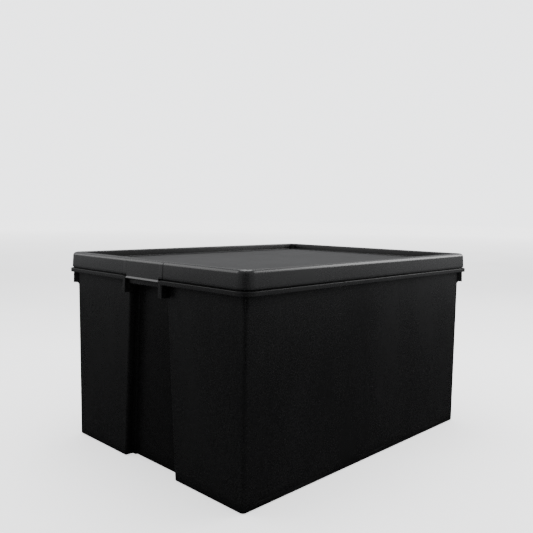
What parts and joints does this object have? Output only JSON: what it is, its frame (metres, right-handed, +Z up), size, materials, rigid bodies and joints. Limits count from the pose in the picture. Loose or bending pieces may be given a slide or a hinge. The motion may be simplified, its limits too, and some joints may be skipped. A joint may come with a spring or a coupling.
{
  "type": "stackable storage tote",
  "caption": "Large tapered rectangular storage tote with a press-on stacking lid, a bead rim and a recessed hand-hold channel in each end.",
  "frame": {"origin": "centre of the footprint, on the floor under the tote's foot", "axes": "+X along the length, +Y across the width, +Z up, the way the lid lifts"},
  "size_m": [0.8, 0.6, 0.425],
  "materials": {
    "tub_plastic": "satin black, fine moulded grain",
    "lid_plastic": "satin black, slightly glossier than the tub"
  },
  "bodies": {
    "tub": {"tub": "tub_plastic"},
    "lid": {"lid": "lid_plastic"}
  },
  "joints": [
    {"name": "lid_lift", "type": "slide", "parent": "tub", "child": "lid", "axis": [0, 0, 1], "range_m": [0, 0.3]}
  ]
}
